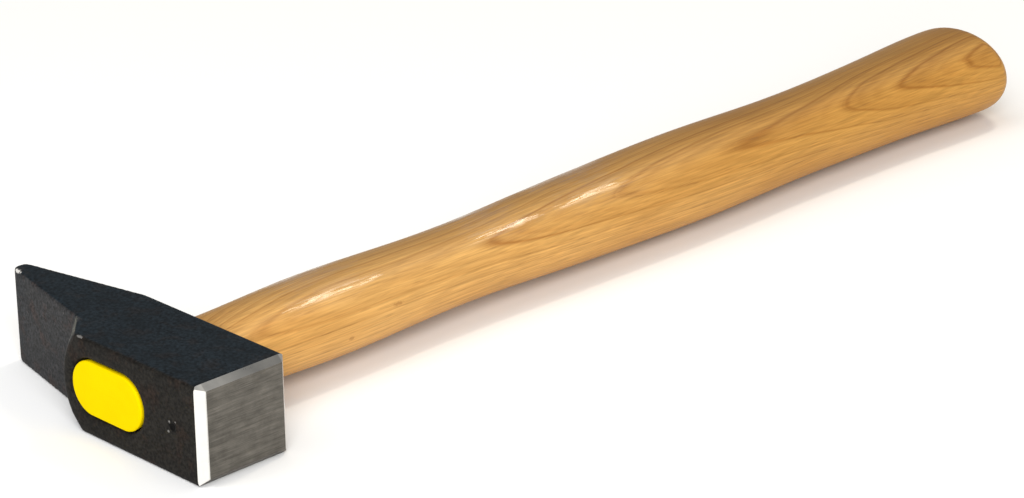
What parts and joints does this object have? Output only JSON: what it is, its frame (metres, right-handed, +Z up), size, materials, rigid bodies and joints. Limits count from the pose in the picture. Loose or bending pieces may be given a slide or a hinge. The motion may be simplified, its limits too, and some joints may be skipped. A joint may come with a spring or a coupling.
{
  "type": "brick hammer",
  "caption": "Hand hammer with a square striking face, a wedge-shaped cross peen, a seal in the eye and a double-swelled wooden handle.",
  "frame": {"origin": "on the lower cheek, straight below the middle of the eye", "axes": "+X out of the striking face, +Y along the handle from the head's crown to the butt, +Z up out of the upper cheek"},
  "size_m": [0.0885, 0.3207, 0.025],
  "materials": {
    "lacquered_steel": "thin black lacquer on forged steel, ground bare at the striking face",
    "lacquered_ash": "clear satin lacquer over straight-grained ash",
    "wedge_wood": "raw hardwood",
    "bare_steel": "bare",
    "yellow_resin": "smooth cast resin"
  },
  "bodies": {
    "root": {"head": "lacquered_steel", "handle": "lacquered_ash", "wood_wedge": "wedge_wood", "steel_wedge": "bare_steel", "end_seal": "yellow_resin"}
  },
  "joints": []
}
